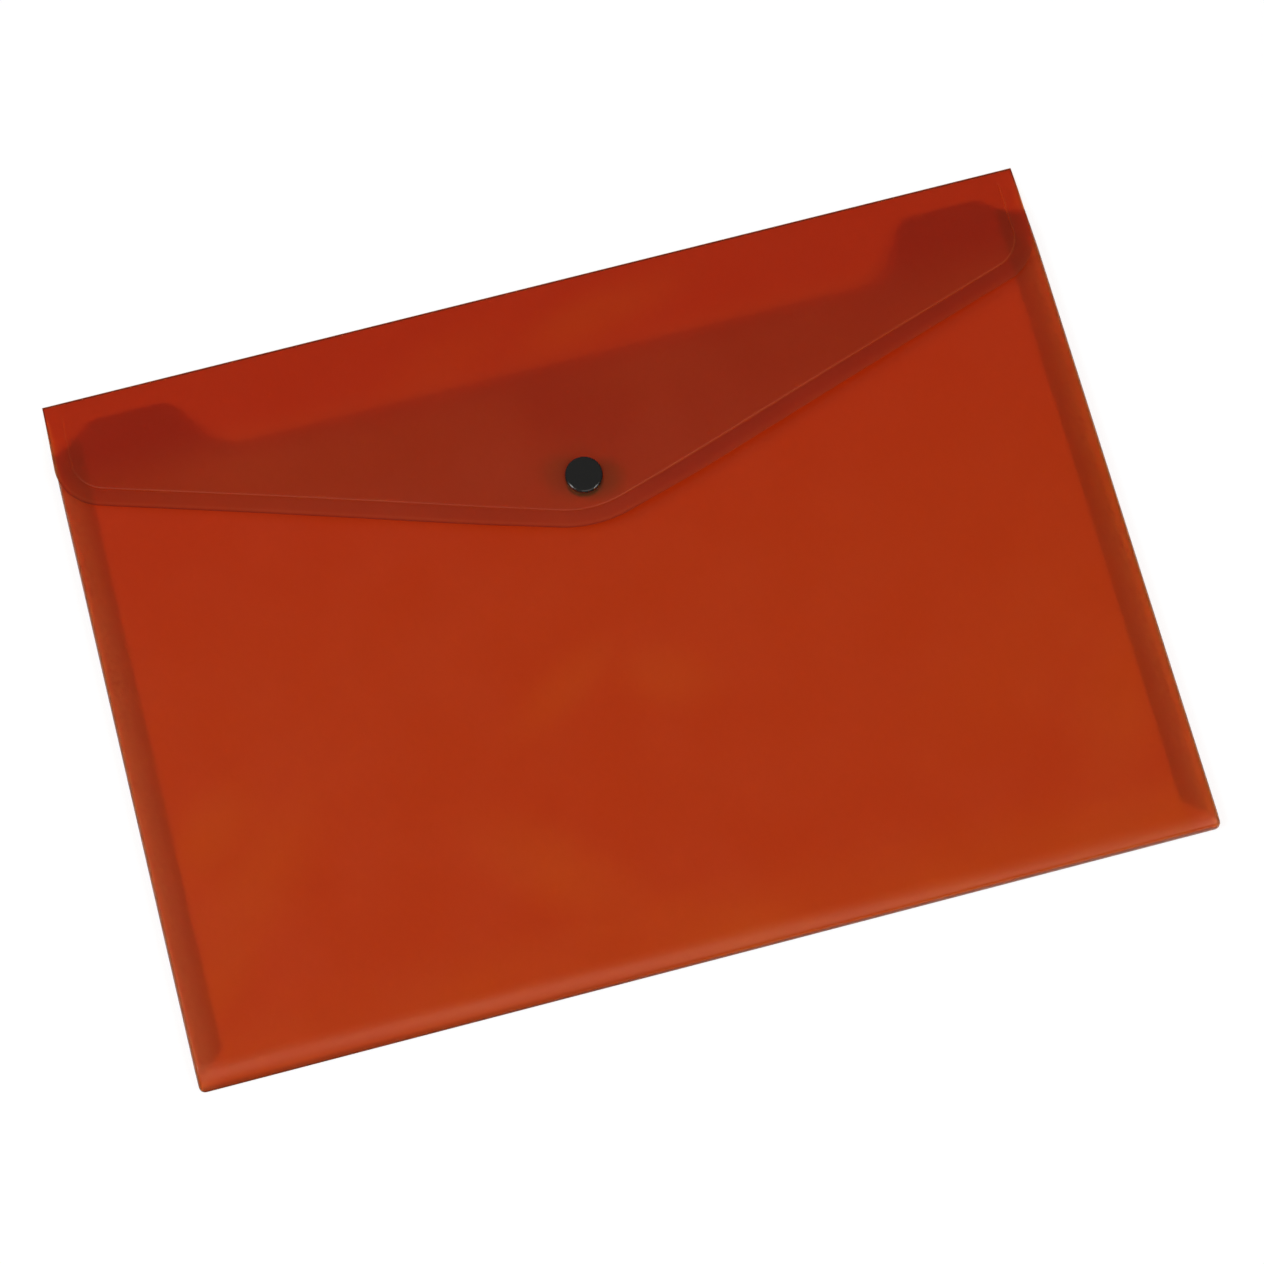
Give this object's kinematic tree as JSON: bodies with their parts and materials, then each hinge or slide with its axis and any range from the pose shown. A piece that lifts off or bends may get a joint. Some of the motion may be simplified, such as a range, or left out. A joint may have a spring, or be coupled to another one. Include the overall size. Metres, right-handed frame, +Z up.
{
  "type": "document wallet",
  "caption": "Landscape A4 document wallet folded from translucent frosted plastic sheet, with a pocket, a V-edged closing flap on a living hinge and a press stud.",
  "frame": {"origin": "centre of the wallet's outline on the surface it lies on, under the back panel", "axes": "+X along the wide side, from the left edge to the right edge as read with the flap in front; +Y across the back from the bottom fold to the flap's crease; +Z up, out of the back towards the flap"},
  "size_m": [0.335, 0.238, 0.0109],
  "materials": {
    "sheet": "frosted translucent red polypropylene",
    "popper": "glossy black moulded plastic"
  },
  "bodies": {
    "pocket": {"back_panel": "sheet", "bottom_fold_back": "sheet", "bottom_fold_front": "sheet", "front_panel": "sheet", "left_fold_back": "sheet", "left_fold_front": "sheet", "right_fold_back": "sheet", "right_fold_front": "sheet", "left_weld_tab": "sheet", "right_weld_tab": "sheet", "top_crease": "sheet", "popper_stud": "popper", "popper_stud_cap": "popper"},
    "flap": {"flap_panel": "sheet", "popper_cap": "popper", "popper_socket": "popper"}
  },
  "joints": [
    {"name": "flap_hinge", "type": "hinge", "parent": "pocket", "child": "flap", "pos_m": [0, 0.11872, 0.00028], "axis": [-1, 0, 0], "range_deg": [0, 168]}
  ]
}
